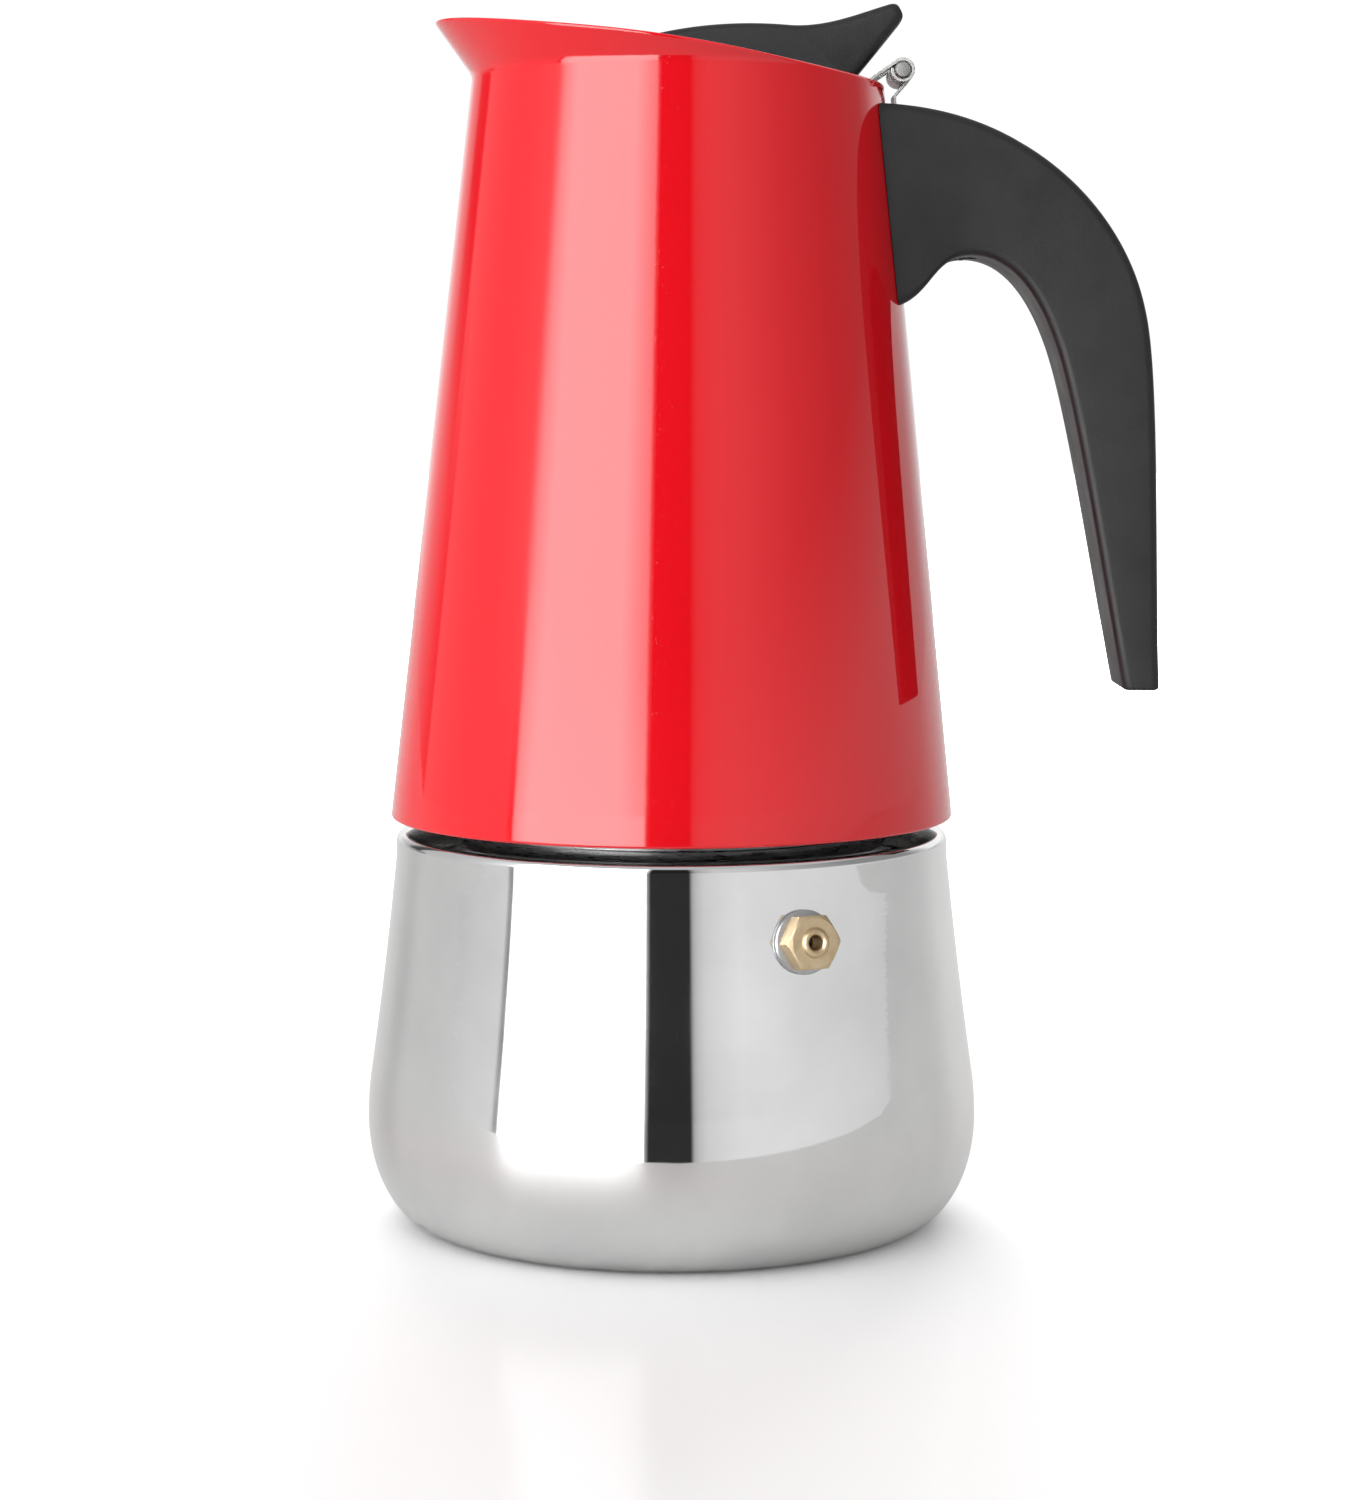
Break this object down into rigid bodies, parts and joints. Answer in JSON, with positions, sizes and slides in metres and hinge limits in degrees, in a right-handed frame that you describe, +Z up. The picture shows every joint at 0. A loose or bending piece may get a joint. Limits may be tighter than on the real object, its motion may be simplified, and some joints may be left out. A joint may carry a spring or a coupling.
{
  "type": "stove-top moka pot",
  "caption": "Stove-top moka pot: steel boiler with safety valve, funnel filter, screw-on red jug with flared spout, hinged lid and side handle.",
  "frame": {"origin": "centre of the flat underside of the boiler, on the thread's axis", "axes": "+Z up the pot's axis, +X towards the handle, -X towards the spout, -Y towards the side the safety valve is on"},
  "size_m": [0.1301, 0.101, 0.1996],
  "materials": {
    "polished_steel": "mirror-polished stainless steel",
    "satin_steel": "plain stainless steel",
    "brass": "machined brass, pale",
    "silicone": "off-white silicone rubber",
    "red_enamel": "glossy red enamel on steel",
    "black_nylon": "matt black moulded nylon"
  },
  "bodies": {
    "boiler": {"boiler_shell": "polished_steel", "neck_thread_ring": "satin_steel", "valve_washer": "satin_steel", "valve_body": "brass", "valve_lock_nut": "brass", "valve_spring": "satin_steel"},
    "relief_ball": {"valve_ball": "polished_steel"},
    "funnel": {"funnel_basket": "satin_steel", "funnel_strainer": "satin_steel", "funnel_tube": "satin_steel"},
    "seal": {"gasket": "silicone", "filter_plate": "satin_steel"},
    "riser": {"thread_collar": "satin_steel", "jug_floor": "satin_steel", "column_tube": "satin_steel"},
    "upper": {"jug_shell": "red_enamel", "column_cap": "satin_steel", "handle": "black_nylon", "handle_bracket": "satin_steel", "handle_screw": "satin_steel", "hinge_bracket": "polished_steel", "hinge_pin": "satin_steel"},
    "lid": {"lid_plate": "polished_steel", "lid_hinge_leaf": "polished_steel", "lid_knob": "black_nylon", "knob_screw": "satin_steel", "knob_washer": "satin_steel"}
  },
  "joints": [
    {"name": "valve_relief", "type": "slide", "parent": "boiler", "child": "relief_ball", "axis": [0.4356, -0.8932, 0.1115], "range_m": [0, 0.0012], "stiffness_N_per_m": 2000, "springref_m": -0.0015, "deforming": ["valve_spring"]},
    {"name": "funnel_lift", "type": "slide", "parent": "boiler", "child": "funnel", "axis": [0, 0, 1], "range_m": [0, 0.08]},
    {"name": "upper_lift", "type": "slide", "parent": "funnel", "child": "seal", "axis": [0, 0, 1], "range_m": [0, 0.06]},
    {"name": "thread_rise", "type": "slide", "parent": "seal", "child": "riser", "axis": [0, 0, 1], "range_m": [0, 0.0045]},
    {"name": "upper_unscrew", "type": "hinge", "parent": "riser", "child": "upper", "pos_m": [0, 0, 0.08], "axis": [0, 0, 1], "range_deg": [0, 540]},
    {"name": "lid_hinge", "type": "hinge", "parent": "upper", "child": "lid", "pos_m": [0.0372, 0, 0.1885], "axis": [0, 1, 0], "range_deg": [0, 110]}
  ],
  "couplings": [
    {"joint": "thread_rise", "follows": "upper_unscrew", "m_per_rad": 0.00047746}
  ]
}
